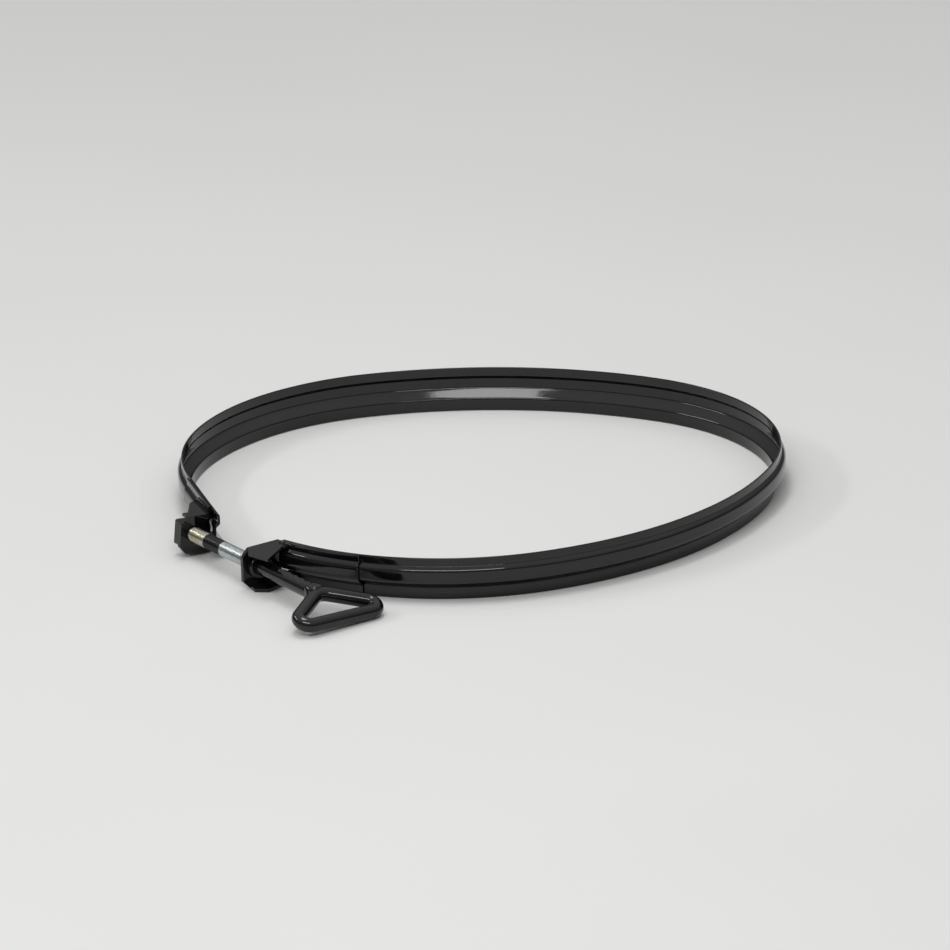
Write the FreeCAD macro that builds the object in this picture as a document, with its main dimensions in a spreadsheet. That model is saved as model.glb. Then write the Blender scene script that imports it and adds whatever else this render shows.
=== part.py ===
import FreeCAD, Part
import math
import os

import Sketcher
from FreeCAD import Placement, Rotation, Vector

# Channel-section band clamp with one screw closure.
# Frame: band axis on Z, lower rim at z = 0, gap on -Y, screw along X, handle towards +X.

SIZES = {
    # band: plan of the upper flange, a chain of tangent arcs read from the screw side round
    # anticlockwise to the nut side, then one straight tail
    "path_x": 46.231,
    "path_y": -175.373,
    "path_heading": 12.995,
    "arc_r_1": 162.1,
    "arc_a_1": 60.675,
    "arc_r_2": 222.1,
    "arc_a_2": 52.0,
    "arc_r_3": 141.7,
    "arc_a_3": 80.7,
    "arc_r_4": 264.6,
    "arc_a_4": 42.3,
    "arc_r_5": 145.2,
    "arc_a_5": 92.1,
    "tail_length": 77.1,
    # band: section, u outwards and z up
    "sheet": 1.2,
    "band_height": 27.8,
    "upper_flange_low": 22.0,
    "channel_top": 19.8,
    "channel_low": 13.2,
    "channel_out": 2.6,
    "lower_flange_top": 8.0,
    "lower_flange_in": 3.9,
    "bend": 1.9,
    # lugs
    "fit_gap": 0.3,
    "strap_sheet": 1.5,
    "room_sheet": 3.25,
    "strap_length": 56.0,
    "nut_strap_setback": 17.6,
    "bracket_sheet": 2.6,
    "plate_in_top": 17.3,
    "nut_in_low": 11.9,
    "bolt_in_low": 17.3,
    "bracket_out": 10.5,
    "bracket_half": 12.2,
    "nut_foot": 12.2,
    "bolt_foot": 13.8,
    "corner_clip": 5.0,
    "flange_sheet": 1.8,
    # lug flanges: x away from the plate's gap face, y inwards from the screw
    "bolt_root_x": 12.4,
    "bolt_waist_x": 11.8,
    "bolt_waist_y": 13.1,
    "bolt_lip_long": 25.6,
    "bolt_lip_out": 7.0,
    "bolt_lip_start": 9.0,
    "bolt_low_long": 15.0,
    "nut_root_x": 31.0,
    "nut_root_y": 21.0,
    "nut_wing_x": 25.0,
    "nut_wing_y": 11.6,
    "nut_lip_long": 8.0,
    "nut_lip_out": 5.0,
    "nut_low_lift": 1.6,
    "nut_low_x": 27.0,
    "nut_low_y": 18.5,
    "bead_rise": 8.6,
    "bead_reach": 34.0,
    "nut_bead_long": 27.2,
    "bolt_bead_long": 11.0,
    "nut_plate_x": -27.0,
    "bolt_plate_x": 40.4,
    "nut_lug_tilt": 7.0,
    "bolt_hole_r": 5.3,
    # screw
    "screw_y": -193.5,
    "screw_z": 14.1,
    "screw_r": 4.7625,
    "thread_run": 0.06,
    "rod_tip_x": -39.5,
    "shank_r": 4.9,
    "shank_start_x": 47.6,
    "shank_end_x": 103.3,
    "grip_count": 5,
    "grip_first_x": 70.5,
    "grip_pitch": 7.0,
    "grip_depth": 0.7,
    "grip_tool_r": 3.0,
    "nut_flats": 15.875,
    "nut_thick": 8.3,
    "nut_corner_r": 10.6,
    "collar_r": 7.6,
    "collar_long": 4.4,
    "collar_run": 0.06,
    # handle
    "wire_r": 4.5,
    "loop_apex_x": 106.3,
    "loop_long": 28.3,
    "loop_half": 40.2,
    "loop_shift": 1.8,
    "loop_apex_bend": 9.0,
    "loop_bend": 6.0,
    "loop_tilt": 2.5,
    "loop_pitch": 17.5,
    "weld_r": 7.0,
    "bead_r": 2.3,
}

ARCS = 5

doc = FreeCAD.newDocument("hose_clamp")
sheet = doc.addObject("Spreadsheet::Sheet", "Sheet")


def fill_sheet():
    """Write one row per size: the name, then the number under an alias."""
    for row, (name, value) in enumerate(SIZES.items(), start=1):
        sheet.set("A%d" % row, name)
        sheet.set("B%d" % row, str(value))
        sheet.setAlias("B%d" % row, name)
    doc.recompute()


fill_sheet()


def number(name):
    return float(SIZES[name])


def named(text):
    """Turn bare size names into sheet references."""
    words = []
    token = ""
    for sign in text + " ":
        if sign.isalnum() or sign == "_":
            token += sign
            continue
        if token in SIZES:
            token = "Sheet." + token
        words.append(token + sign)
        token = ""
    return "".join(words).strip()


def bind(thing, prop, text):
    thing.setExpression(prop, named(text))


def guess(text):
    """Plain number of a formula, used only to place a sketch point before it is solved."""
    total = 0.0
    for part in text.replace("-", "+-").split("+"):
        part = part.strip()
        if not part:
            continue
        sign = 1.0
        if part.startswith("-"):
            sign = -1.0
            part = part[1:].strip()
        product = 1.0
        for factor in part.split("*"):
            factor = factor.strip()
            product *= SIZES[factor] if factor in SIZES else float(factor)
        total += sign * product
    return total


def sketch_on(name, x_dir, y_dir, origin=("0", "0", "0")):
    """Sketch whose plane has these two directions, its corner bound to three formulas."""
    sketch = doc.addObject("Sketcher::SketchObject", name)
    normal = x_dir.cross(y_dir)
    sketch.Placement = Placement(Vector(0, 0, 0), Rotation(x_dir, y_dir, normal, "XYZ"))
    for axis, text in zip("xyz", origin):
        bind(sketch, "Placement.Base." + axis, text)
    return sketch


def pin_point(sketch, geo, pos, x_text, y_text):
    """Hold one sketch point at a formula for x and one for y."""
    for kind, text in (("DistanceX", x_text), ("DistanceY", y_text)):
        index = sketch.addConstraint(Sketcher.Constraint(kind, -1, 1, geo, pos, guess(text)))
        bind(sketch, "Constraints[%d]" % index, text)


def polygon(name, x_dir, y_dir, origin, corners):
    """Closed outline through corners given as pairs of formulas."""
    sketch = sketch_on(name, x_dir, y_dir, origin)
    flat = [Vector(guess(x), guess(y), 0) for x, y in corners]
    count = len(flat)
    for i in range(count):
        sketch.addGeometry(Part.LineSegment(flat[i], flat[(i + 1) % count]))
    for i in range(count):
        sketch.addConstraint(Sketcher.Constraint("Coincident", i, 2, (i + 1) % count, 1))
    for i, (x, y) in enumerate(corners):
        pin_point(sketch, i, 1, x, y)
    return sketch


def corner_arc(before, corner, after, radius):
    """Start, middle and end of the arc that rounds a corner."""
    a = (before - corner).normalize()
    b = (after - corner).normalize()
    half = a.getAngle(b) / 2.0
    reach = radius / math.tan(half)
    middle_way = (a + b).normalize()
    centre = corner + middle_way * (radius / math.sin(half))
    return corner + a * reach, centre - middle_way * radius, corner + b * reach


def rounded_line(sketch, corners, radii, closed=False):
    """Run of straights joined by tangent arcs.

    Every corner has a construction point at a pair of formulas, which lies on both of
    the straights that meet there; every arc has its radius bound.
    """
    flat = [Vector(guess(x), guess(y), 0) for x, y in corners]
    count = len(flat)
    bends = range(count) if closed else range(1, count - 1)
    rounds = {}
    for i in bends:
        rounds[i] = corner_arc(flat[i - 1], flat[i], flat[(i + 1) % count], guess(radii[i]))
    lines = []
    spans = range(count) if closed else range(count - 1)
    for i in spans:
        j = (i + 1) % count
        start = rounds[i][2] if i in rounds else flat[i]
        end = rounds[j][0] if j in rounds else flat[j]
        lines.append(sketch.addGeometry(Part.LineSegment(start, end)))
    for i in bends:
        before = lines[(i - 1) % len(lines)]
        after = lines[i % len(lines)]
        arc = sketch.addGeometry(Part.Arc(*rounds[i]))
        start = sketch.getPoint(arc, 1)
        first, last = (1, 2) if start.distanceToPoint(rounds[i][0]) < 1e-6 else (2, 1)
        sketch.addConstraint(Sketcher.Constraint("Tangent", before, 2, arc, first))
        sketch.addConstraint(Sketcher.Constraint("Tangent", arc, last, after, 1))
        index = sketch.addConstraint(Sketcher.Constraint("Radius", arc, guess(radii[i])))
        bind(sketch, "Constraints[%d]" % index, radii[i])
        point = sketch.addGeometry(Part.Point(flat[i]), True)
        sketch.addConstraint(Sketcher.Constraint("PointOnObject", point, 1, before))
        sketch.addConstraint(Sketcher.Constraint("PointOnObject", point, 1, after))
        pin_point(sketch, point, 1, corners[i][0], corners[i][1])
    if not closed:
        pin_point(sketch, lines[0], 1, *corners[0])
        pin_point(sketch, lines[-1], 2, *corners[-1])
    return lines


def band_plan():
    """Plan of the upper flange on z = 0: five tangent arcs and the straight tail."""
    sketch = sketch_on("band_plan", Vector(1, 0, 0), Vector(0, 1, 0))
    x, y = number("path_x"), number("path_y")
    heading = math.radians(number("path_heading"))
    for i in range(1, ARCS + 1):
        radius = number("arc_r_%d" % i)
        span = math.radians(number("arc_a_%d" % i))
        centre = Vector(x - radius * math.sin(heading), y + radius * math.cos(heading), 0)
        circle = Part.Circle(centre, Vector(0, 0, 1), radius)
        first = heading - math.pi / 2
        sketch.addGeometry(Part.ArcOfCircle(circle, first, first + span))
        heading += span
        x = centre.x + radius * math.sin(heading)
        y = centre.y - radius * math.cos(heading)
    tail = number("tail_length")
    end = Vector(x + tail * math.cos(heading), y + tail * math.sin(heading), 0)
    line = sketch.addGeometry(Part.LineSegment(Vector(x, y, 0), end))
    for i in range(ARCS):
        sketch.addConstraint(Sketcher.Constraint("Tangent", i, 2, i + 1, 1))
        index = sketch.addConstraint(
            Sketcher.Constraint("Radius", i, number("arc_r_%d" % (i + 1))))
        bind(sketch, "Constraints[%d]" % index, "arc_r_%d" % (i + 1))
        index = sketch.addConstraint(
            Sketcher.Constraint("Angle", i, math.radians(number("arc_a_%d" % (i + 1)))))
        bind(sketch, "Constraints[%d]" % index, "arc_a_%d * 1 deg" % (i + 1))
    index = sketch.addConstraint(Sketcher.Constraint("Distance", line, tail))
    bind(sketch, "Constraints[%d]" % index, "tail_length")
    pin_point(sketch, 0, 1, "path_x", "path_y")
    # the first centre stands square to the heading, inwards from the start
    start_heading = math.radians(number("path_heading"))
    index = sketch.addConstraint(Sketcher.Constraint(
        "DistanceX", 0, 3, 0, 1, number("arc_r_1") * math.sin(start_heading)))
    bind(sketch, "Constraints[%d]" % index, "arc_r_1 * sin(path_heading * 1 deg)")
    return sketch, Vector(x, y, 0), end, heading


def section_line(name, outward, origin):
    """Open middle line of the band's sheet in an upright plane."""
    sketch = sketch_on(name, outward, Vector(0, 0, 1), origin)
    corners = [
        ("0", "band_height"),
        ("0", "upper_flange_low"),
        ("channel_out", "channel_top"),
        ("channel_out", "channel_low"),
        ("-1*lower_flange_in", "lower_flange_top"),
        ("-1*lower_flange_in", "0"),
    ]
    rounded_line(sketch, corners, ["bend"] * len(corners))
    return sketch


def thick_line(name, line, lift, thickness):
    """Strip of sheet beside an open line: lifted off it, then filled to a thickness."""
    base = line
    if lift:
        base = doc.addObject("Part::Offset2D", name + "_lift")
        base.Source = line
        base.Mode = "Skin"
        base.Fill = False
        bind(base, "Value", lift)
    strip = doc.addObject("Part::Offset2D", name + "_strip")
    strip.Source = base
    strip.Mode = "Skin"
    strip.Fill = True
    bind(strip, "Value", thickness)
    return strip


def extrude(name, base, direction, length_text):
    solid = doc.addObject("Part::Extrusion", name)
    solid.Base = base
    solid.DirMode = "Custom"
    solid.Dir = direction
    solid.Solid = True
    bind(solid, "LengthFwd", length_text)
    return solid


def rod_x(name, start_text, length_text, radius_text):
    """Round bar along X on the screw's axis."""
    bar = doc.addObject("Part::Cylinder", name)
    bar.Placement = Placement(Vector(0, 0, 0), Rotation(Vector(0, 1, 0), 90))
    bind(bar, "Radius", radius_text)
    bind(bar, "Height", length_text)
    bind(bar, "Placement.Base.x", start_text)
    bind(bar, "Placement.Base.y", "screw_y")
    bind(bar, "Placement.Base.z", "screw_z")
    return bar


def cut(name, base, tool):
    result = doc.addObject("Part::Cut", name)
    result.Base = base
    result.Tool = tool
    return result


def fuse(name, pieces):
    result = doc.addObject("Part::MultiFuse", name)
    result.Shapes = pieces
    result.Refine = True
    return result


def turned_about_screw(thing, angle_text):
    """Put a screw-centred shape, built about the X axis, on the screw and turn it."""
    thing.Placement = Placement(Vector(0, 0, 0), Rotation(Vector(1, 0, 0), guess(angle_text)))
    bind(thing, "Placement.Base.y", "screw_y")
    bind(thing, "Placement.Base.z", "screw_z")
    bind(thing, "Placement.Rotation.Angle", angle_text)


FLANGE_CORNERS = {
    "bolt": [
        ("bracket_sheet*0.5", "nut_in_low"),
        ("bracket_sheet", "plate_in_top"),
        ("bolt_root_x", "plate_in_top"),
        ("bolt_waist_x", "bolt_waist_y"),
        ("bolt_lip_long", "-1*bolt_lip_out"),
        ("bolt_lip_start", "-1*bracket_out"),
        ("bracket_sheet*0.5", "-1*bracket_out + corner_clip"),
    ],
    "bolt_low": [
        ("bracket_sheet*0.5", "nut_in_low"),
        ("bracket_sheet", "plate_in_top"),
        ("bolt_root_x", "plate_in_top"),
        ("bolt_waist_x", "bolt_waist_y"),
        ("bolt_low_long", "0*bracket_out"),
        ("bolt_lip_start", "-1*bolt_lip_out"),
        ("bracket_sheet*0.5", "-1*bracket_out + corner_clip"),
    ],
    "nut": [
        ("bracket_sheet*0.5", "nut_in_low"),
        ("bracket_sheet", "plate_in_top"),
        ("nut_root_x", "nut_root_y"),
        ("nut_wing_x", "nut_wing_y"),
        ("nut_lip_long", "-0.2*nut_lip_out"),
        ("nut_lip_long", "-1*nut_lip_out"),
        ("bracket_sheet*0.5", "-1*bracket_out + corner_clip"),
    ],
    "nut_low": [
        ("bracket_sheet*0.5", "nut_in_low"),
        ("bracket_sheet", "plate_in_top"),
        ("nut_low_x", "nut_low_y"),
        ("nut_wing_x", "nut_wing_y"),
        ("nut_lip_long", "-1*nut_lip_out"),
        ("bracket_sheet*0.5", "-1*bracket_out + corner_clip"),
    ],
}


def bracket(side, away, tilt_text, room):
    """Folded end plate with an upper and a lower flange, built about the screw axis.

    away is +1 where the flanges run towards +X, -1 towards -X. The plate's gap face
    stands at the side's plate_x. room is the space of the band and its strap, kept free.
    """
    name = side + "_lug_bracket"
    plate_x = side + "_plate_x"
    foot = side + "_foot"
    across = Vector(0, 1, 0)
    up = Vector(0, 0, 1)
    turn = "" if away > 0 else "-1*"
    outline = polygon(name + "_outline", across, up, ("0", "0", "0"), [
        ("plate_in_top", "bracket_half"),
        ("-1*bracket_out + corner_clip", "bracket_half"),
        ("-1*bracket_out", "bracket_half - corner_clip"),
        ("-1*bracket_out", "-1*%s + corner_clip" % foot),
        ("-1*bracket_out + corner_clip", "-1*" + foot),
        (side + "_in_low", "-1*" + foot),
    ])
    bind(outline, "Placement.Base.x", plate_x)
    plate = extrude(name + "_plate", outline, Vector(away, 0, 0), "bracket_sheet")
    low_corners = FLANGE_CORNERS.get(side + "_low", FLANGE_CORNERS[side])
    low_bottom = "-1*%s" % foot
    if side == "nut":
        low_bottom += " + nut_low_lift"
    flanges = []
    for level, corners, bottom in (
        ("top", FLANGE_CORNERS[side], "bracket_half - flange_sheet"),
        ("low", low_corners, low_bottom),
    ):
        shape = polygon(name + "_" + level, Vector(1, 0, 0), across, ("0", "0", "0"),
                        [(turn + x, y) for x, y in corners])
        bind(shape, "Placement.Base.x", plate_x)
        bind(shape, "Placement.Base.z", bottom)
        flanges.append(extrude(name + "_" + level + "_flange", shape, up, "flange_sheet"))
    hole = doc.addObject("Part::Cylinder", name + "_hole")
    hole.Placement = Placement(Vector(0, 0, 0), Rotation(Vector(0, 1, 0), 90))
    bind(hole, "Radius", "bolt_hole_r")
    bind(hole, "Height", "bracket_sheet * 3")
    bind(hole, "Placement.Base.x", plate_x + " - bracket_sheet * 1.5")
    body = cut(name + "_pierced", fuse(name + "_folded", [plate] + flanges), hole)
    turned_about_screw(body, tilt_text)
    return cut(name, body, room)


PIECES = {}
plan, tail_start, tail_end, tail_heading = band_plan()
doc.recompute()

# band: the channel section swept round its plan
start_heading = math.radians(number("path_heading"))
start_out = Vector(math.sin(start_heading), -math.cos(start_heading), 0)
band_line = section_line("band_section", start_out, ("path_x", "path_y", "0"))
band_strip = thick_line("band", band_line, "", "sheet")
doc.recompute()
band = doc.addObject("Part::Sweep", "band")
band.Sections = [band_strip]
band.Spine = (plan, ["Edge%d" % (i + 1) for i in range(ARCS + 1)])
band.Solid = True
band.Frenet = False
band.Transition = "Transformed"
PIECES["band"] = band

# strap of the screw side: the same section lifted off the band and turned about the
# first arc's centre
bolt_line = section_line("bolt_strap_section", start_out, ("path_x", "path_y", "0"))
bolt_strip = thick_line("bolt_strap", bolt_line, "sheet + fit_gap", "strap_sheet")
bolt_strap = doc.addObject("Part::Revolution", "bolt_lug_strap")
bolt_strap.Source = bolt_strip
bolt_strap.Axis = Vector(0, 0, 1)
bolt_strap.Solid = True
bind(bolt_strap, "Base.x", "path_x - arc_r_1 * sin(path_heading * 1 deg)")
bind(bolt_strap, "Base.y", "path_y + arc_r_1 * cos(path_heading * 1 deg)")
bind(bolt_strap, "Angle", "strap_length / arc_r_1 * 180 / pi")
PIECES["bolt_lug_strap"] = bolt_strap

# strap of the nut side: the same section lifted off the straight tail
tail_way = Vector(math.cos(tail_heading), math.sin(tail_heading), 0)
tail_out = Vector(math.sin(tail_heading), -math.cos(tail_heading), 0)
nut_line = section_line("nut_strap_section", tail_out, ("0", "0", "0"))
strap_end = tail_end - tail_way * number("nut_strap_setback")
nut_line.setExpression("Placement.Base.x", None)
nut_line.setExpression("Placement.Base.y", None)
nut_line.Placement.Base = strap_end
nut_strip = thick_line("nut_strap", nut_line, "sheet + fit_gap", "strap_sheet")
PIECES["nut_lug_strap"] = extrude("nut_lug_strap", nut_strip, tail_way * -1, "strap_length")

# folded brackets
nut_outer = extrude("nut_outer", thick_line("nut_room", nut_line, "", "room_sheet"),
                    tail_way * -1, "strap_length")
nut_hollow = polygon("nut_hollow", tail_out, Vector(0, 0, 1), ("0", "0", "0"), [
    ("-2*lower_flange_in", "0"),
    ("0.8-lower_flange_in", "0"),
    ("0.8-lower_flange_in", "lower_flange_top"),
    ("channel_out+0.8", "channel_low"),
    ("channel_out+0.8", "channel_top"),
    ("0.8", "upper_flange_low"),
    ("0.8", "band_height"),
    ("-2*lower_flange_in", "band_height"),
])
nut_hollow.setExpression("Placement.Base.x", None)
nut_hollow.setExpression("Placement.Base.y", None)
nut_hollow.Placement.Base = strap_end
nut_inner = extrude("nut_inner", nut_hollow, tail_way * -1, "strap_length")
for span in (nut_outer, nut_inner):
    bind(span, "LengthRev", "nut_strap_setback")
nut_room = fuse("nut_room", [nut_outer, nut_inner])
bolt_room = doc.addObject("Part::Revolution", "bolt_room")
bolt_room.Source = thick_line("bolt_room", bolt_line, "", "room_sheet")
bolt_room.Axis = Vector(0, 0, 1)
bolt_room.Solid = True
bind(bolt_room, "Base.x", "path_x - arc_r_1 * sin(path_heading * 1 deg)")
bind(bolt_room, "Base.y", "path_y + arc_r_1 * cos(path_heading * 1 deg)")
bind(bolt_room, "Angle", "strap_length / arc_r_1 * 180 / pi")
PIECES["nut_lug_bracket"] = bracket("nut", -1, "-1*nut_lug_tilt", nut_room)
PIECES["bolt_lug_bracket"] = bracket("bolt", 1, "0*nut_lug_tilt", bolt_room)

# square nut behind the nut plate
nut_block = doc.addObject("Part::Box", "nut_block")
for prop, text in (("Length", "nut_thick"), ("Width", "nut_flats"), ("Height", "nut_flats"),
                   ("Placement.Base.x", "nut_plate_x - bracket_sheet - nut_thick - 0.05"),
                   ("Placement.Base.y", "-0.5*nut_flats"),
                   ("Placement.Base.z", "-0.5*nut_flats")):
    bind(nut_block, prop, text)
nut_round = doc.addObject("Part::Cylinder", "nut_round")
nut_round.Placement = Placement(Vector(0, 0, 0), Rotation(Vector(0, 1, 0), 90))
bind(nut_round, "Radius", "nut_corner_r")
bind(nut_round, "Height", "nut_thick + 2")
bind(nut_round, "Placement.Base.x", "nut_plate_x - bracket_sheet - nut_thick - 1")
nut_blank = doc.addObject("Part::Common", "nut_blank")
nut_blank.Base = nut_block
nut_blank.Tool = nut_round
nut_bore = doc.addObject("Part::Cylinder", "nut_bore")
nut_bore.Placement = Placement(Vector(0, 0, 0), Rotation(Vector(0, 1, 0), 90))
bind(nut_bore, "Radius", "screw_r + thread_run")
bind(nut_bore, "Height", "nut_thick + 4")
bind(nut_bore, "Placement.Base.x", "nut_plate_x - bracket_sheet - nut_thick - 2")
square_nut = cut("square_nut", nut_blank, nut_bore)
turned_about_screw(square_nut, "-1*nut_lug_tilt")
PIECES["square_nut"] = square_nut

# screw: threaded rod and gripped shank in one piece
rod = rod_x("rod", "rod_tip_x", "shank_start_x - rod_tip_x", "screw_r")
shank = rod_x("shank", "shank_start_x", "shank_end_x - shank_start_x", "shank_r")
screw_blank = fuse("screw_blank", [rod, shank])
grips = []
for i in range(int(number("grip_count"))):
    grip = doc.addObject("Part::Cylinder", "grip_%d" % (i + 1))
    grip.Placement = Placement(Vector(0, 0, 0), Rotation(Vector(1, 0, 0), 90))
    bind(grip, "Radius", "grip_tool_r")
    bind(grip, "Height", "4 * shank_r")
    bind(grip, "Placement.Base.x", "grip_first_x + grip_pitch * %d" % i)
    bind(grip, "Placement.Base.y", "screw_y + 2 * shank_r")
    bind(grip, "Placement.Base.z", "screw_z + shank_r + grip_tool_r - grip_depth")
    grips.append(grip)
PIECES["screw"] = cut("screw", screw_blank, fuse("grips", grips))

# thrust collar on the screw, seated on the screw-side bracket
collar_blank = rod_x("collar_blank", "bolt_plate_x + bracket_sheet + 0.05", "collar_long",
                     "collar_r")
collar_bore = rod_x("collar_bore", "bolt_plate_x", "collar_long * 3", "screw_r + collar_run")
PIECES["thrust_collar"] = cut("thrust_collar", collar_blank, collar_bore)

# handle: a closed wire loop, its apex against the shank, bent down from the screw's axis
roll = math.radians(-number("loop_tilt"))
pitch = math.radians(number("loop_pitch"))
loop_way = Vector(math.cos(pitch), 0, -math.sin(pitch))
loop_side = Rotation(loop_way, math.degrees(roll)).multVec(Vector(0, 1, 0))
loop_up = loop_way.cross(loop_side)
loop_path = sketch_on("loop_path", loop_way, loop_side, ("loop_apex_x", "screw_y + loop_shift", "screw_z"))
rounded_line(loop_path, [
    ("loop_long", "0"),
    ("loop_long", "-1*loop_half"),
    ("0", "0"),
    ("loop_long", "loop_half"),
    ("loop_long", "0"),
], ["0", "loop_bend", "loop_apex_bend", "loop_bend", "0"])
loop_section = sketch_on("loop_section", loop_way, loop_up, (
    "loop_apex_x + loop_long * cos(loop_pitch * 1 deg)", "screw_y + loop_shift",
    "screw_z - loop_long * sin(loop_pitch * 1 deg)"))
loop_section.addGeometry(Part.Circle(Vector(0, 0, 0), Vector(0, 0, 1), number("wire_r")))
loop_section.addConstraint(Sketcher.Constraint("Coincident", 0, 3, -1, 1))
index = loop_section.addConstraint(Sketcher.Constraint("Radius", 0, number("wire_r")))
bind(loop_section, "Constraints[%d]" % index, "wire_r")
doc.recompute()
handle = doc.addObject("Part::Sweep", "handle_loop")
handle.Sections = [loop_section]
handle.Spine = (loop_path, ["Edge%d" % (i + 1) for i in range(len(loop_path.Shape.Edges))])
handle.Solid = True
handle.Frenet = False
handle.Transition = "Transformed"
PIECES["handle_loop"] = handle

# weld that joins the loop to the shank
weld_ball = doc.addObject("Part::Sphere", "weld_ball")
bind(weld_ball, "Radius", "weld_r")
bind(weld_ball, "Placement.Base.x", "shank_end_x + 1.7")
bind(weld_ball, "Placement.Base.y", "screw_y")
bind(weld_ball, "Placement.Base.z", "screw_z")
PIECES["handle_weld"] = cut("handle_weld", cut("weld_off_shank", weld_ball, screw_blank), handle)


def bead(name, side, away, level, others):
    """Fillet weld along the joint of a bracket flange and its strap."""
    run = Vector(away * number("bead_reach"), number("bead_rise"), 0)
    bar = doc.addObject("Part::Cylinder", name + "_bar")
    bar.Placement = Placement(Vector(0, 0, 0), Rotation(Vector(0, 0, 1), run))
    bind(bar, "Radius", "bead_r")
    bind(bar, "Height", side + "_bead_long")
    bind(bar, "Placement.Base.x", "%s_plate_x + %d * bracket_sheet * 1.6" % (side, away))
    bind(bar, "Placement.Base.y", "screw_y + 15.2 + %s" % level[0])
    bind(bar, "Placement.Base.z", "screw_z + %s" % level[1])
    left = bar
    for i, other in enumerate(others):
        left = cut("%s_less_%d" % (name, i), left, other)
    return left


for side, away in (("nut", -1), ("bolt", 1)):
    others = [PIECES[side + "_lug_bracket"], PIECES[side + "_lug_strap"], band]
    beads = [
        bead(side + "_bead_top", side, away, ("0", "bracket_half - 0.3"), others),
        bead(side + "_bead_low", side, away, ("4.2", "0.8 - bracket_half"), others),
    ]
    PIECES[side + "_lug_welds"] = doc.addObject("Part::Compound", side + "_lug_welds")
    PIECES[side + "_lug_welds"].Links = beads

doc.recompute()

problems = []
for thing in doc.Objects:
    if "Invalid" in thing.State or "Error" in thing.State:
        problems.append("%s is %s" % (thing.Name, ", ".join(thing.State)))
for label, piece in PIECES.items():
    piece.Label = label
    shape = piece.Shape
    if shape.isNull() or not shape.isValid() or not shape.Solids:
        problems.append("%s has no valid solid" % label)
if problems:
    raise RuntimeError("; ".join(problems))

os.makedirs("parts", exist_ok=True)
for label, piece in PIECES.items():
    piece.Shape.exportStep("parts/%s.step" % label)
    box = piece.Shape.BoundBox
    print("%s: %d solid(s), %.0f mm3, x %.1f..%.1f y %.1f..%.1f z %.1f..%.1f" % (
        label, len(piece.Shape.Solids), piece.Shape.Volume,
        box.XMin, box.XMax, box.YMin, box.YMax, box.ZMin, box.ZMax))
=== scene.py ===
import logging
import math
from dataclasses import dataclass, field
from enum import Enum
from typing import Optional, Sequence

import bpy
import numpy as np
from mathutils import Matrix, Vector


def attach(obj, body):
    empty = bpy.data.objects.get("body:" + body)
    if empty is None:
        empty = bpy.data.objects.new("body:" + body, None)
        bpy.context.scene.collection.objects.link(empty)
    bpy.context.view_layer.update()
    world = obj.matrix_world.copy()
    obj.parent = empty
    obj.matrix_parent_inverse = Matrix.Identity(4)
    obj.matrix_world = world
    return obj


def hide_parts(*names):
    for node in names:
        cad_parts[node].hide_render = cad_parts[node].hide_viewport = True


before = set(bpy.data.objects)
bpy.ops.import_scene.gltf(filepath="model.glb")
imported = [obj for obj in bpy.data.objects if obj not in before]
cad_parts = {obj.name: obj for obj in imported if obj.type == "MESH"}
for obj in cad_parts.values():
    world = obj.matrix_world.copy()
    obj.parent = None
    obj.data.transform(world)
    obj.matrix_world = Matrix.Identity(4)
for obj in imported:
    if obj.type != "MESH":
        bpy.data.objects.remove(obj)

MM = 0.001
LOG = logging.getLogger("hose_clamp")
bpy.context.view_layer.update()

ROUND_POINTS = 6  # points over a rounded edge
EDGE_LEFT = 0.06  # share of the thickness left on the very edge, so no face collapses
STRAIGHT = 1e-9  # curvature that stands for a straight line, 1/mm
SOFT_DEG = 40.0  # turned and drawn pieces: sharper edges than this stay sharp
SHEET_DEG = 60.0  # the same for pressed sheet
WELD_DEG = 50.0  # the same for weld runs


class Slot(Enum):
    """Material slots of the record."""

    ENAMEL = "black_enamel"
    ZINC = "zinc_plate"


class Body(Enum):
    """Rigid bodies of the frame."""

    CLAMP = "clamp"
    COLLAR = "collar"
    SCREW = "screw"


# ---------------------------------------------------------------- mesh tools


def clustered(length: float, count: int, edge: float) -> np.ndarray:
    """Stations along a length, even in the middle and close together at both ends.

    Args:
        length: length to cover, mm.
        count: number of even stations between the two edges.
        edge: width of the rounded edge at each end, mm.

    Returns:
        Rising stations from 0 to length, mm. Inside each edge they follow 1 - cos, so a
        rounded edge gets its points where it turns most.
    """
    turn = np.linspace(0.0, math.pi / 2, ROUND_POINTS)
    near = edge * (1.0 - np.cos(turn))
    middle = np.linspace(edge, length - edge, count)[1:-1]
    return np.concatenate([near, middle, (length - near)[::-1]])


def edge_round(stations: np.ndarray, edge: float) -> np.ndarray:
    """Share of the full thickness at each station: a quarter circle down at both ends.

    Args:
        stations: rising stations that start at the first edge, mm.
        edge: width of the rounded edge, mm.

    Returns:
        Values from nearly 0 on the edge to 1 inside, sqrt(1 - (1 - d/edge)^2).
    """
    reach = np.minimum(stations - stations[0], stations[-1] - stations) / edge
    depth = 1.0 - np.clip(reach, 0.0, 1.0)
    return np.maximum(np.sqrt(np.clip(1.0 - depth * depth, 0.0, 1.0)), EDGE_LEFT)


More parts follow.
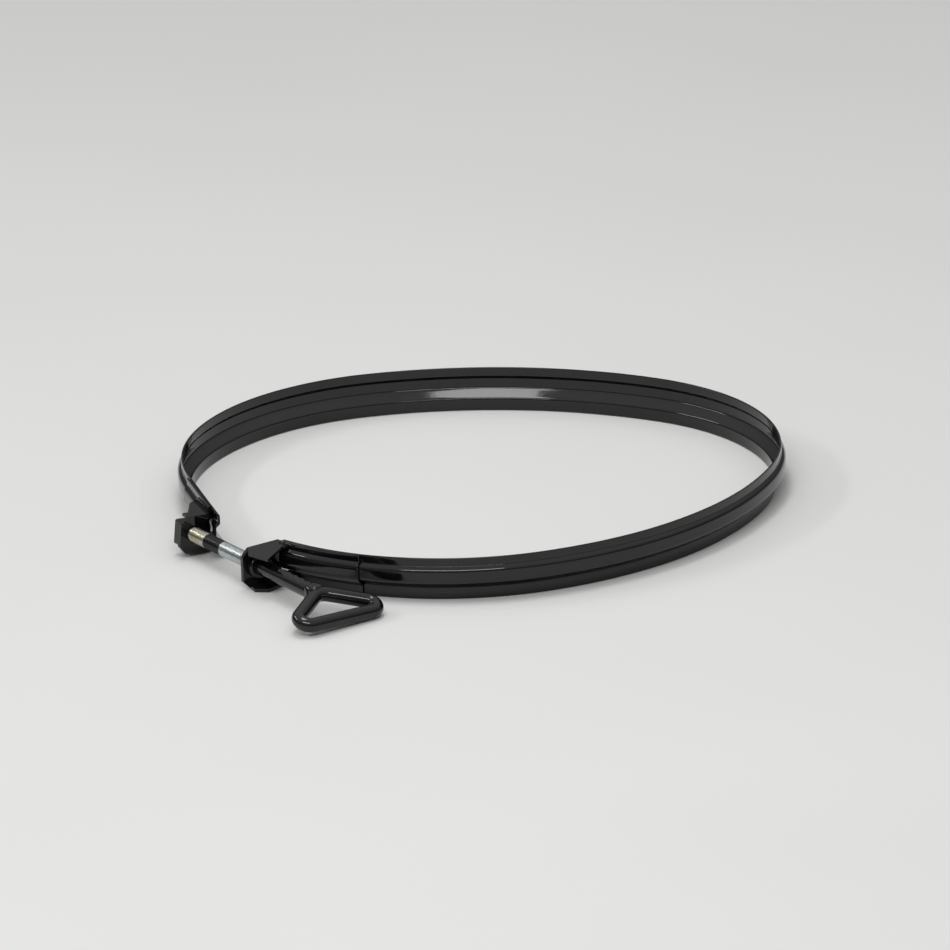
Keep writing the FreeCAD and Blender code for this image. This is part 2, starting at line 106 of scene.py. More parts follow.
def make_mesh(name: str, points: np.ndarray, faces: list, smooth_deg: float = SOFT_DEG
              ) -> bpy.types.Object:
    """Mesh object at the origin, its faces turned outwards and shaded smooth.

    The faces are turned round when their signed volume, summed over fans of triangles
    from each face's first corner, comes out negative.

    Args:
        name: object name.
        points: (n, 3) vertices in mm.
        faces: arrays of quads or triangles, each (m, 4) or (m, 3).
        smooth_deg: edges sharper than this stay sharp.

    Returns:
        The linked object.
    """
    flat = [face for block in faces for face in block.tolist()]
    mesh = bpy.data.meshes.new(name)
    mesh.from_pydata((points * MM).tolist(), [], flat)
    volume = 0.0
    for block in faces:
        a = points[block[:, 0]]
        for k in range(1, block.shape[1] - 1):
            b, c = points[block[:, k]], points[block[:, k + 1]]
            volume += np.einsum("ij,ij->i", a, np.cross(b, c)).sum()
    if volume < 0.0:
        mesh.flip_normals()
    mesh.polygons.foreach_set("use_smooth", np.ones(len(mesh.polygons), bool))
    mesh.set_sharp_from_angle(angle=math.radians(smooth_deg))
    mesh.update()
    thing = bpy.data.objects.new(name, mesh)
    bpy.context.scene.collection.objects.link(thing)
    LOG.info("%s: %d faces", name, len(mesh.polygons))
    return thing


def grid_quads(rows: np.ndarray) -> np.ndarray:
    """Quads between neighbouring entries of a 2-D array of vertex numbers.

    Args:
        rows: (n, m) vertex numbers of a grid.

    Returns:
        ((n - 1)(m - 1), 4) vertex numbers, one row for each quad.
    """
    return np.stack([rows[:-1, :-1], rows[1:, :-1], rows[1:, 1:], rows[:-1, 1:]],
                    axis=-1).reshape(-1, 4)


def tube_parts(rings: np.ndarray, closed: bool = False) -> tuple:
    """Skin over rings of points, with a fan over each open end.

    Args:
        rings: (n, m, 3) rings along the piece, in mm; each ring closes on itself.
        closed: True when the last ring joins the first.

    Returns:
        (points, faces): vertices in mm and a list of face arrays.
    """
    count, around, _ = rings.shape
    index = np.arange(count * around).reshape(count, around)
    index = np.hstack([index, index[:, :1]])
    if closed:
        index = np.vstack([index, index[:1]])
    points = rings.reshape(-1, 3)
    faces = [grid_quads(index)]
    if not closed:
        for ring, order in ((index[0], [0, 1, 2]), (index[-1], [0, 2, 1])):
            centre = np.full(around, len(points))
            points = np.vstack([points, points[ring[:-1]].mean(axis=0)])
            faces.append(np.stack([centre, ring[1:], ring[:-1]], axis=-1)[:, order])
    return points, faces


def tube_mesh(name: str, rings: np.ndarray, closed: bool = False,
              smooth_deg: float = SOFT_DEG) -> bpy.types.Object:
    """Mesh object out of rings of points.

    Args:
        name: object name.
        rings: (n, m, 3) rings along the piece, in mm; each ring closes on itself.
        closed: True when the last ring joins the first.
        smooth_deg: edges sharper than this stay sharp.

    Returns:
        The linked object.
    """
    return make_mesh(name, *tube_parts(rings, closed), smooth_deg)


def sheet_mesh(name: str, middle: np.ndarray, outward: np.ndarray, half: np.ndarray
               ) -> bpy.types.Object:
    """Sheet of metal round its middle surface.

    Args:
        name: object name.
        middle: (n, m, 3) grid of the middle surface, mm.
        outward: (n, m, 3) unit normals of that surface.
        half: (n, m) half thickness, mm, small along the border so the edges are round.

    Returns:
        The linked object: an upper skin, a lower skin and a rim between their borders.
    """
    n, m, _ = middle.shape
    lift = outward * half[..., None]
    points = np.concatenate([(middle + lift).reshape(-1, 3), (middle - lift).reshape(-1, 3)])
    upper = np.arange(n * m).reshape(n, m)
    lower = upper + n * m
    border = np.concatenate([upper[0, :-1], upper[:-1, -1], upper[-1, :0:-1], upper[:0:-1, 0]])
    border = np.append(border, border[0])
    rim = np.stack([border[:-1], border[1:], border[1:] + n * m, border[:-1] + n * m], axis=-1)
    top = grid_quads(upper)
    return make_mesh(name, points, [top, grid_quads(lower)[:, ::-1], rim[:, ::-1]],
                     SHEET_DEG)


def rounded_run(corners: Sequence, radii: Sequence, step: float = 0.35) -> tuple:
    """Plane line through corners, each rounded by its radius.

    Args:
        corners: (x, y) pairs in mm.
        radii: one radius per corner; the first and the last aren't used.
        step: spacing of points on the arcs, mm.

    Returns:
        (points, tangents): arrays (n, 2), in mm and as unit vectors.
    """
    flat = np.asarray(corners, float)
    points, tangents = [flat[0]], []
    first = flat[1] - flat[0]
    tangents.append(first / np.linalg.norm(first))
    for i in range(1, len(flat) - 1):
        a = flat[i - 1] - flat[i]
        b = flat[i + 1] - flat[i]
        a, b = a / np.linalg.norm(a), b / np.linalg.norm(b)
        half = math.acos(float(np.clip(a @ b, -1.0, 1.0))) / 2.0
        radius = radii[i]
        centre = flat[i] + (a + b) / np.linalg.norm(a + b) * radius / math.sin(half)
        sweep = math.pi - 2.0 * half
        count = max(4, int(sweep * radius / step) + 1)
        side = 1.0 if a[0] * b[1] - a[1] * b[0] < 0 else -1.0
        start = flat[i] + a * radius / math.tan(half) - centre
        turn = side * np.linspace(0.0, sweep, count)
        x = start[0] * np.cos(turn) - start[1] * np.sin(turn)
        y = start[0] * np.sin(turn) + start[1] * np.cos(turn)
        points.extend(centre + np.stack([x, y], axis=-1))
        way_x = -a[0] * np.cos(turn) + a[1] * np.sin(turn)
        way_y = -a[0] * np.sin(turn) - a[1] * np.cos(turn)
        tangents.extend(np.stack([way_x, way_y], axis=-1))
    last = flat[-1] - flat[-2]
    points.append(flat[-1])
    tangents.append(last / np.linalg.norm(last))
    return np.array(points), np.array(tangents)


def resample(points: np.ndarray, tangents: np.ndarray, edge: float, spacing: float) -> tuple:
    """Add stations on the long straights and close to both ends of a plane line.

    Args:
        points: (n, 2) points of the line, mm.
        tangents: (n, 2) unit tangents at the points.
        edge: width of the rounded edge at each end, mm.
        spacing: rough spacing of the added stations, mm.

    Returns:
        (stations, points, tangents) with the line's length as the first array, mm.
    """
    along = np.concatenate([[0.0], np.cumsum(np.linalg.norm(np.diff(points, axis=0), axis=1))])
    extra = clustered(along[-1], max(3, int(along[-1] / spacing)), edge)
    stations = np.unique(np.round(np.concatenate([along, extra]), 5))
    keep = np.concatenate([[True], np.diff(stations) > 1e-3])
    stations = stations[keep]
    place = np.stack([np.interp(stations, along, points[:, k]) for k in range(2)], axis=-1)
    way = np.stack([np.interp(stations, along, tangents[:, k]) for k in range(2)], axis=-1)
    return stations, place, way / np.linalg.norm(way, axis=1, keepdims=True)


# ---------------------------------------------------------------- the band's shape


@dataclass(frozen=True)
class BandPlan:
    """Plan of the band: tangent arcs (radius mm, angle deg), then a straight tail."""

    start: tuple = (46.231, -175.373)
    heading_deg: float = 12.995
    arcs: tuple = ((162.1, 60.675), (222.1, 52.0), (141.7, 80.7), (264.6, 42.3), (145.2, 92.1))
    tail: float = 77.1

    def states(self) -> np.ndarray:
        """Start of every span.

        Returns:
            Rows of (length so far, x, y, heading, curvature) in mm, radians and 1/mm.
        """
        x, y = self.start
        heading, along, rows = math.radians(self.heading_deg), 0.0, []
        for radius, angle in self.arcs:
            rows.append((along, x, y, heading, 1.0 / radius))
            turn = math.radians(angle)
            x += radius * (math.sin(heading + turn) - math.sin(heading))
            y -= radius * (math.cos(heading + turn) - math.cos(heading))
            heading += turn
            along += radius * turn
        rows.append((along, x, y, heading, STRAIGHT))
        return np.array(rows)

    def length(self) -> float:
        """Length of the whole plan, mm."""
        return float(self.states()[-1, 0] + self.tail)

    def at(self, along: np.ndarray) -> tuple:
        """Place and outward direction at lengths along the plan.

        Args:
            along: lengths from the start, mm.

        Returns:
            (points, outward): arrays (n, 2). On an arc of curvature k from heading h the
            place moves by (sin(h + ks) - sin h, cos h - cos(h + ks)) / k.
        """
        rows = self.states()
        pick = np.clip(np.searchsorted(rows[:, 0], along, side="right") - 1, 0, len(rows) - 1)
        s = along - rows[pick, 0]
        h, k = rows[pick, 3], rows[pick, 4]
        x = rows[pick, 1] + (np.sin(h + k * s) - np.sin(h)) / k
        y = rows[pick, 2] - (np.cos(h + k * s) - np.cos(h)) / k
        return np.stack([x, y], axis=-1), np.stack([np.sin(h + k * s), -np.cos(h + k * s)],
                                                   axis=-1)


@dataclass(frozen=True)
class ChannelSection:
    """Section of the band's sheet: u outwards from the plan, z up, mm."""

    height: float = 27.8
    upper_low: float = 22.0
    channel_top: float = 19.8
    channel_low: float = 13.2
    channel_out: float = 2.6
    lower_top: float = 8.0
    lower_in: float = 3.9
    bend: float = 1.9

    def line(self, lift: float = 0.0) -> tuple:
        """Middle line from the upper rim to the lower rim.

        Args:
            lift: how far the line is moved outwards, mm.

        Returns:
            (points, tangents): arrays (n, 2) of u and z.
        """
        corners = [
            (0.0, self.height),
            (0.0, self.upper_low),
            (self.channel_out, self.channel_top),
            (self.channel_out, self.channel_low),
            (-self.lower_in, self.lower_top),
            (-self.lower_in, 0.0),
        ]
        points, tangents = rounded_run(corners, [self.bend] * len(corners))
        outward = np.stack([-tangents[:, 1], tangents[:, 0]], axis=-1)
        return points + outward * lift, tangents


PLAN = BandPlan()
SECTION = ChannelSection()


@dataclass
class Piece:
    """One visible piece: its mesh, the body it rides on, its slot and its CAD node."""

    name: str
    body: Body
    slot: Slot
    node: str

    def build(self) -> bpy.types.Object:
        """Make the piece's object; each kind of piece has its own way."""
        raise NotImplementedError

    def place(self, finish: bpy.types.Material) -> bpy.types.Object:
        """Build the piece, give it its finish and hand it to the frame.

        Args:
            finish: material for the whole piece.

        Returns:
            The placed object.
        """
        thing = self.build()
        thing.data.materials.clear()
        thing.data.materials.append(finish)
        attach(thing, self.body.value)
        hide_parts(self.node)
        LOG.info("%s stands for %s", self.name, self.node)
        return thing


@dataclass
class SheetRun(Piece):
    """Length of channel sheet that follows the band's plan."""

    start: float = 0.0
    end: float = 0.0
    lift: float = 0.6
    thickness: float = 1.2
    edge: float = 0.45
    step: float = 3.0
    ripple: float = 0.0
    long_wave: float = 37.0
    short_wave: float = 14.3
    short_share: float = 0.6
    cross_wave: float = 9.0
    section_step: float = 1.4

    def build(self) -> bpy.types.Object:
        """Sweep the section along the plan.

        A point is plan(s) + outward(s) u + z, and the sheet gets thinner towards its four
        edges by a quarter circle. The ripple moves u by slow sines of s, as rolling
        leaves it.

        Returns:
            The linked object.
        """
        along = self.start + clustered(self.end - self.start,
                                       int((self.end - self.start) / self.step), self.edge)
        place, outward = PLAN.at(along)
        points, tangents = SECTION.line(self.lift)
        stations, line, way = resample(points, tangents, self.edge,
                                         self.section_step)
        u = line[None, :, 0] + self.ripple * (
            np.sin(along / self.long_wave)[:, None]
            + self.short_share * np.sin(along / self.short_wave + 1.0)[:, None]
            * np.cos(line[None, :, 1] / self.cross_wave))
        z = np.broadcast_to(line[None, :, 1], u.shape)
        middle = np.empty(u.shape + (3,))
        middle[..., 0] = place[:, None, 0] + outward[:, None, 0] * u
        middle[..., 1] = place[:, None, 1] + outward[:, None, 1] * u
        middle[..., 2] = z
        out_u, out_z = -way[:, 1], way[:, 0]
        normal = np.empty_like(middle)
        normal[..., 0] = outward[:, None, 0] * out_u
        normal[..., 1] = outward[:, None, 1] * out_u
        normal[..., 2] = out_z
        half = self.thickness / 2 * np.minimum(edge_round(along, self.edge)[:, None],
                                               edge_round(stations, self.edge)[None, :])
        return sheet_mesh(self.name, middle, normal, half)


# ---------------------------------------------------------------- lugs


@dataclass
class FramePiece(Piece):
    """Piece whose CAD solid is shown as it is, with its sharp edges rounded."""

    edge: float = 0.4
    corner_deg: float = 35.0

    def build(self) -> bpy.types.Object:
        """Bevel every edge of the node that turns by more than corner_deg.

        Returns:
            The node's own object.
        """
        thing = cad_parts[self.node]
        bevel = thing.modifiers.new("edge", "BEVEL")
        bevel.width = self.edge * MM
        bevel.segments = 3
        bevel.limit_method = "ANGLE"
        bevel.angle_limit = math.radians(self.corner_deg)
        bevel.harden_normals = True
        return thing

    def place(self, finish: bpy.types.Material) -> bpy.types.Object:
        """Round the edges and give the finish; the frame already moves this node.

        Args:
            finish: material for the whole piece.

        Returns:
            The node's own object.
        """
        thing = self.build()
        thing.data.materials.clear()
        thing.data.materials.append(finish)
        LOG.info("%s: CAD node with %.1f mm edges", self.name, self.edge)
        return thing


@dataclass
class WeldRuns(Piece):
    """Group of fillet welds between a bracket and its strap, one for each pair in runs."""

    runs: tuple = ()
    radius: float = 2.0
    pitch: float = 2.6
    step: float = 0.35
    around: int = 24
    trough: float = 0.82
    crest: float = 0.18
    wander: float = 0.25

    def rings(self, k: int, start: np.ndarray, end: np.ndarray) -> np.ndarray:
        """Rings along one run, their radius waved by |sin| once per pitch.

        Args:
            k: number of the run, which shifts its wave.
            start: first end of the run, mm.
            end: other end of the run, mm.

        Returns:
            (n, around, 3) points in mm.
        """
        way = end - start
        length = float(np.linalg.norm(way))
        way = way / length
        side = np.cross(way, [0.0, 0.0, 1.0])
        side = side / np.linalg.norm(side)
        up = np.cross(side, way)
        along = clustered(length, int(length / self.step), self.radius)
        swell = edge_round(along, self.radius) * self.radius * (
            self.trough + self.crest * np.abs(np.sin(along * math.pi / self.pitch + k)))
        turn = np.linspace(0.0, 2.0 * math.pi, self.around, endpoint=False)
        drift = self.wander * np.sin(along * 0.9 + 2.0 * k)
        return (start + along[:, None, None] * way + drift[:, None, None] * up
                + swell[:, None, None] * (np.cos(turn)[None, :, None] * side
                                          + np.sin(turn)[None, :, None] * up))

    def build(self) -> bpy.types.Object:
        """One mesh out of the skins of all the runs.

        Returns:
            The linked object.
        """
        points, faces = np.empty((0, 3)), []
        for k, (start, end) in enumerate(self.runs):
            part, blocks = tube_parts(self.rings(k, np.array(start), np.array(end)))
            faces.extend([block + len(points) for block in blocks])
            points = np.concatenate([points, part])
        return make_mesh(self.name, points, faces, WELD_DEG)


# ---------------------------------------------------------------- screw and handle


@dataclass(frozen=True)
class ScrewAxis:
    """Line of the screw: parallel to X at this y and z, mm."""

    y: float = -193.5
    z: float = 14.1

    def rings(self, x: np.ndarray, radius: np.ndarray, around: int) -> np.ndarray:
        """Rings of points round the axis.

        Args:
            x: (n,) places of the rings along the axis, mm.
            radius: (n,) or (n, around) radii, mm.
            around: number of points in a ring.

        Returns:
            (n, around, 3) points in mm.
        """
        turn = np.linspace(0.0, 2.0 * math.pi, around, endpoint=False)
        wide = np.broadcast_to(radius if radius.ndim == 2 else radius[:, None],
                               (len(x), around))
        out = np.empty((len(x), around, 3))
        out[..., 0] = x[:, None]
        out[..., 1] = self.y + wide * np.cos(turn)
        out[..., 2] = self.z + wide * np.sin(turn)
        return out


AXIS = ScrewAxis()


@dataclass
class Screw(Piece):
    """Threaded rod and gripped shank in one piece."""

    tip: float = -39.5
    thread_end: float = 47.6
    end: float = 103.3
    crest: float = 4.7625
    depth: float = 0.78
    pitch: float = 1.5875
    shank: float = 4.9
    grip_first: float = 70.5
    grip_pitch: float = 7.0
    grip_count: int = 5
    grip_tool: float = 3.0
    grip_depth: float = 0.7
    around: int = 72
    thread_rows: int = 820
    shank_rows: int = 330
    flat_share: float = 0.14
    flank_share: float = 0.72
    tip_fade: float = 1.6
    tip_chamfer: float = 0.9
    end_round: float = 0.5
    smooth_deg: float = 55.0

    def build(self) -> bpy.types.Object:
        """Radius over a grid of x and angle.

        The thread is the distance to the nearest crest line, x/pitch - angle/2pi, cut
        flat at the crest and at the root; it fades in over the chamfered tip. The grips
        are round notches across the top of the shank.

        Returns:
            The linked object.
        """
        turn = np.linspace(0.0, 2.0 * math.pi, self.around, endpoint=False)
        x = np.concatenate([
            np.linspace(self.tip, self.thread_end, self.thread_rows),
            np.linspace(self.thread_end + 0.2, self.end - self.end_round, self.shank_rows),
            [self.end - 0.25, self.end - 0.08, self.end],
        ])
        phase = (x[:, None] / self.pitch - turn[None, :] / (2.0 * math.pi)) % 1.0
        ramp = np.abs(2.0 * phase - 1.0)
        groove = np.clip((ramp - self.flat_share) / self.flank_share, 0.0, 1.0)
        fade = np.clip((x - self.tip) / self.tip_fade, 0.0, 1.0)[:, None]
        threaded = (x <= self.thread_end)[:, None]
        chamfer = (1.0 - fade) * self.tip_chamfer
        thread = self.crest - groove * self.depth - chamfer
        plain = np.full_like(thread, self.shank)
        close = np.clip((self.end - x) / self.end_round, 0.0, 1.0)
        plain -= (self.end_round * (1.0 - np.sqrt(1.0 - (1.0 - close) ** 2)))[:, None]
        height = self.shank + self.grip_tool - self.grip_depth
        for k in range(self.grip_count):
            gap = x - (self.grip_first + k * self.grip_pitch)
            inside = np.clip(self.grip_tool ** 2 - gap ** 2, 0.0, None)
            floor = height - np.sqrt(inside)
            floor = np.where(inside > 0.0, floor, 2.0 * self.shank)
            reach = floor[:, None] / np.maximum(np.sin(turn)[None, :], 1e-3)
            plain = np.where(np.sin(turn)[None, :] > 0.0, np.minimum(plain, reach), plain)
        radius = np.where(threaded, thread, plain)
        return tube_mesh(self.name, AXIS.rings(x, radius, self.around),
                         smooth_deg=self.smooth_deg)


@dataclass
class Collar(Piece):
    """Thrust collar: a short turned ring with rounded rims."""

    start: float = 43.05
    long: float = 4.4
    outer: float = 7.6
    inner: float = 4.8225
    rim: float = 0.9
    bore_rim: float = 0.3
    around: int = 64

    def build(self) -> bpy.types.Object:
        """Turn a rounded rectangle round the screw; it closes on itself both ways.

        Returns:
            The linked object.
        """
        end = self.start + self.long
        corners = [(self.start, self.inner), (self.start, self.outer), (end, self.outer),
                   (end, self.inner)]
        turn = np.linspace(0.0, math.pi / 2, ROUND_POINTS)
        rounds = []
        for k, (cx, cr) in enumerate(corners):
            radius = self.rim if cr == self.outer else self.bore_rim
            sx = 1.0 if cx == self.start else -1.0
            sr = 1.0 if cr == self.inner else -1.0
            ax, ar = cx + sx * radius, cr + sr * radius
            part = turn if k % 2 == 1 else turn[::-1]
            rounds.append(np.stack([ax - sx * radius * np.cos(part),
                                    ar - sr * radius * np.sin(part)], axis=-1))
        outline = np.concatenate(rounds)
        angle = np.linspace(0.0, 2.0 * math.pi, self.around, endpoint=False)
        rings = np.empty((self.around, len(outline), 3))
        rings[..., 0] = outline[None, :, 0]
        rings[..., 1] = AXIS.y + outline[None, :, 1] * np.cos(angle)[:, None]
        rings[..., 2] = AXIS.z + outline[None, :, 1] * np.sin(angle)[:, None]
        return tube_mesh(self.name, rings, closed=True)


@dataclass
class HandleLoop(Piece):
    """Closed triangle of round wire, bent down from the screw and rolled a little."""

    wire: float = 4.5
    apex: float = 106.3
    long: float = 28.3
    half: float = 40.2
    apex_bend: float = 9.0
    bend: float = 6.0
    roll_deg: float = -2.5
    pitch_deg: float = 17.5
    shift: float = 1.8
    step: float = 0.5
    rows: int = 180
    around: int = 40

    def build(self) -> bpy.types.Object:
        """Carry a circle round the rounded triangle.

        The triangle lies in the plane of the directions ahead and across: ahead is the
        screw's axis turned down by the pitch, and across is level, turned by the roll.

        Returns:
            The linked object.
        """
        corners = [(self.long, 0.0), (self.long, -self.half), (0.0, 0.0),
                   (self.long, self.half), (self.long, 0.0)]
        radii = [0.0, self.bend, self.apex_bend, self.bend, 0.0]
        line, way = rounded_run(corners, radii, self.step)
        along = np.concatenate([[0.0],
                                np.cumsum(np.linalg.norm(np.diff(line, axis=0), axis=1))])
        extra = np.linspace(0.0, along[-1], self.rows)
        stations = np.unique(np.round(np.concatenate([along, extra]), 4))
        stations = stations[np.concatenate([[True], np.diff(stations) > 1e-2])][:-1]
        place = np.stack([np.interp(stations, along, line[:, k]) for k in range(2)], axis=-1)
        head = np.stack([np.interp(stations, along, way[:, k]) for k in range(2)], axis=-1)
        head = head / np.linalg.norm(head, axis=1, keepdims=True)
        pitch, roll = math.radians(self.pitch_deg), math.radians(self.roll_deg)
        ahead = np.array([math.cos(pitch), 0.0, -math.sin(pitch)])
        level = np.array([0.0, 1.0, 0.0])
        across = math.cos(roll) * level + math.sin(roll) * np.cross(ahead, level)
        up = np.cross(ahead, across)
        centre = (np.array([self.apex, AXIS.y + self.shift, AXIS.z]) + place[:, :1] * ahead
                  + place[:, 1:] * across)
        side = head[:, 1:] * ahead - head[:, :1] * across
        turn = np.linspace(0.0, 2.0 * math.pi, self.around, endpoint=False)
        rings = (centre[:, None, :] + self.wire * (
            np.cos(turn)[None, :, None] * side[:, None, :]
            + np.sin(turn)[None, :, None] * up))
        return tube_mesh(self.name, rings, closed=True)


@dataclass
class HandleWeld(Piece):
    """Lump of weld between the shank and the loop's apex."""

    x: float = 105.0
    radius: float = 6.3
    flatten: float = 0.95
    pole: float = 0.03
    rows: int = 48
    around: int = 72

    def build(self) -> bpy.types.Object:
        """Ball whose radius is waved by three slow sines of its direction.

        Returns:
            The linked object.
        """
        rise = np.linspace(self.pole, math.pi - self.pole, self.rows)
        turn = np.linspace(0.0, 2.0 * math.pi, self.around, endpoint=False)
        a, b = rise[:, None], turn[None, :]
        wave = 1.0 + 0.05 * np.sin(5.0 * b + 2.0 * a) * np.sin(a) + 0.04 * np.sin(
            3.0 * b - 4.0 * a) * np.sin(a) + 0.03 * np.cos(6.0 * a)
        radius = self.radius * wave
        rings = np.empty((self.rows, self.around, 3))
        rings[..., 0] = self.x - self.flatten * radius * np.cos(a)
        rings[..., 1] = AXIS.y + radius * np.sin(a) * np.cos(b)
        rings[..., 2] = AXIS.z + radius * np.sin(a) * np.sin(b) * self.flatten
        return tube_mesh(self.name, rings)


# ---------------------------------------------------------------- finishes


def linear(hex_colour: str) -> tuple:
    """Linear RGBA of an sRGB colour.

    Args:
        hex_colour: colour such as '#1a1b1d'.

    Returns:
        (red, green, blue, 1).
    """
    raw = hex_colour.lstrip("#")
    out = []
    for k in (0, 2, 4):
        c = int(raw[k:k + 2], 16) / 255.0
        out.append(c / 12.92 if c <= 0.04045 else ((c + 0.055) / 1.055) ** 2.4)
    return (*out, 1.0)


@dataclass
class Nodes:
    """Node tree of one material, built with short calls."""

    material: bpy.types.Material
    shader: bpy.types.Node = field(init=False)

    def __post_init__(self) -> None:
        """Switch nodes on and find the shader."""
        self.material.use_nodes = True
        self.shader = self.material.node_tree.nodes["Principled BSDF"]

    def add(self, kind: str, inputs: Optional[dict] = None,
            **settings: object) -> bpy.types.Node:
        """Add a node with its settings and links.

        Args:
            kind: Blender's name for the node.
            inputs: values or sockets by socket name or number.
            settings: properties of the node, set before its inputs.

        Returns:
            The new node.
        """
        node = self.material.node_tree.nodes.new(kind)
        for key, value in settings.items():
            setattr(node, key, value)
        for key, value in (inputs or {}).items():
            if isinstance(value, bpy.types.NodeSocket):
                self.material.node_tree.links.new(value, node.inputs[key])
            else:
                node.inputs[key].default_value = value
        return node

    def set(self, **sockets: object) -> None:
        """Set or link sockets of the shader.

        Args:
            sockets: values or sockets by name, with underscores for blanks.
        """
        for key, value in sockets.items():
            socket = self.shader.inputs[key.replace("_", " ")]
            if isinstance(value, bpy.types.NodeSocket):
                self.material.node_tree.links.new(value, socket)
            else:
                socket.default_value = value

    def noise(self, per_metre: float, detail: float = 3.0) -> bpy.types.NodeSocket:
        """Noise in the piece's own space.

        Args:
            per_metre: grains in a metre.
            detail: octaves of finer grain.

        Returns:
            The noise's factor.
        """
        place = self.add("ShaderNodeTexCoord")
        return self.add("ShaderNodeTexNoise", {
            "Vector": place.outputs["Object"], "Scale": per_metre,
            "Detail": detail}).outputs["Fac"]

    def spread(self, value: bpy.types.NodeSocket, low: float, high: float,
               to_low: float, to_high: float) -> bpy.types.NodeSocket:
        """Carry a value from one span to another, held at the ends.

        Args:
            value: socket to carry over.
            low: value that becomes to_low.
            high: value that becomes to_high.
            to_low: result at low.
            to_high: result at high.

        Returns:
            The result's socket.
        """
        return self.add("ShaderNodeMapRange", {
            "Value": value, "From Min": low, "From Max": high, "To Min": to_low,
            "To Max": to_high}).outputs["Result"]

    def mixed(self, share: bpy.types.NodeSocket, one: object, other: object
              ) -> bpy.types.NodeSocket:
        """Blend two colours.

        Args:
            share: 0 for the first colour, 1 for the second.
            one: first colour or its socket.
            other: second colour or its socket.

        Returns:
            The blended colour's socket.
        """
        return self.add("ShaderNodeMix", {0: share, 6: one, 7: other},
                        data_type="RGBA").outputs[2]

    def relief(self, height: bpy.types.NodeSocket, strength: float, metres: float,
               under: Optional[bpy.types.NodeSocket] = None) -> bpy.types.NodeSocket:
        """Bump from a height.

        Args:
            height: socket of the height.
            strength: share of the bump that shows.
            metres: depth of the full height.
            under: normal that the bump is laid on.

        Returns:
            The bumped normal's socket.
        """
        inputs = {"Strength": strength, "Distance": metres, "Height": height}
        if under is not None:
            inputs["Normal"] = under
        return self.add("ShaderNodeBump", inputs).outputs["Normal"]


@dataclass(frozen=True)
class Enamel:
    """Dipped black gloss enamel on pressed steel.

    Dipping leaves a deep mirror gloss with slow sags (17 mm) and a fine orange peel
    (2.4 mm); handling dulls it in patches (11 mm) and the black drifts over 36 mm.
    """

    name: str = "Black gloss enamel"
    colour: str = "#0a0a0c"
    dusty: str = "#101113"
    roughness: tuple = (0.045, 0.10)
    drift_per_metre: float = 28.0
    gloss_per_metre: float = 90.0
    peel_per_metre: float = 420.0
    sag_per_metre: float = 60.0
    peel: float = 0.05
    peel_depth: float = 0.0002
    sag: float = 0.10
    sag_depth: float = 0.0005

    def make(self) -> bpy.types.Material:
        """Slow colour drift, uneven gloss, orange peel and sags.

        Returns:
            The finished material.
        """
        nodes = Nodes(bpy.data.materials.new(self.name))
        drift = nodes.noise(self.drift_per_metre, 4.0)
        gloss = nodes.noise(self.gloss_per_metre, 5.0)
        share = nodes.spread(drift, 0.35, 0.65, 0.0, 1.0)
        nodes.set(Base_Color=nodes.mixed(share, linear(self.colour), linear(self.dusty)),
                  Roughness=nodes.spread(gloss, 0.3, 0.7, *self.roughness))
        fine = nodes.relief(nodes.noise(self.peel_per_metre, 2.0), self.peel,
                            self.peel_depth)
        nodes.set(Normal=nodes.relief(nodes.noise(self.sag_per_metre, 1.0), self.sag,
                                      self.sag_depth, fine))
        return nodes.material


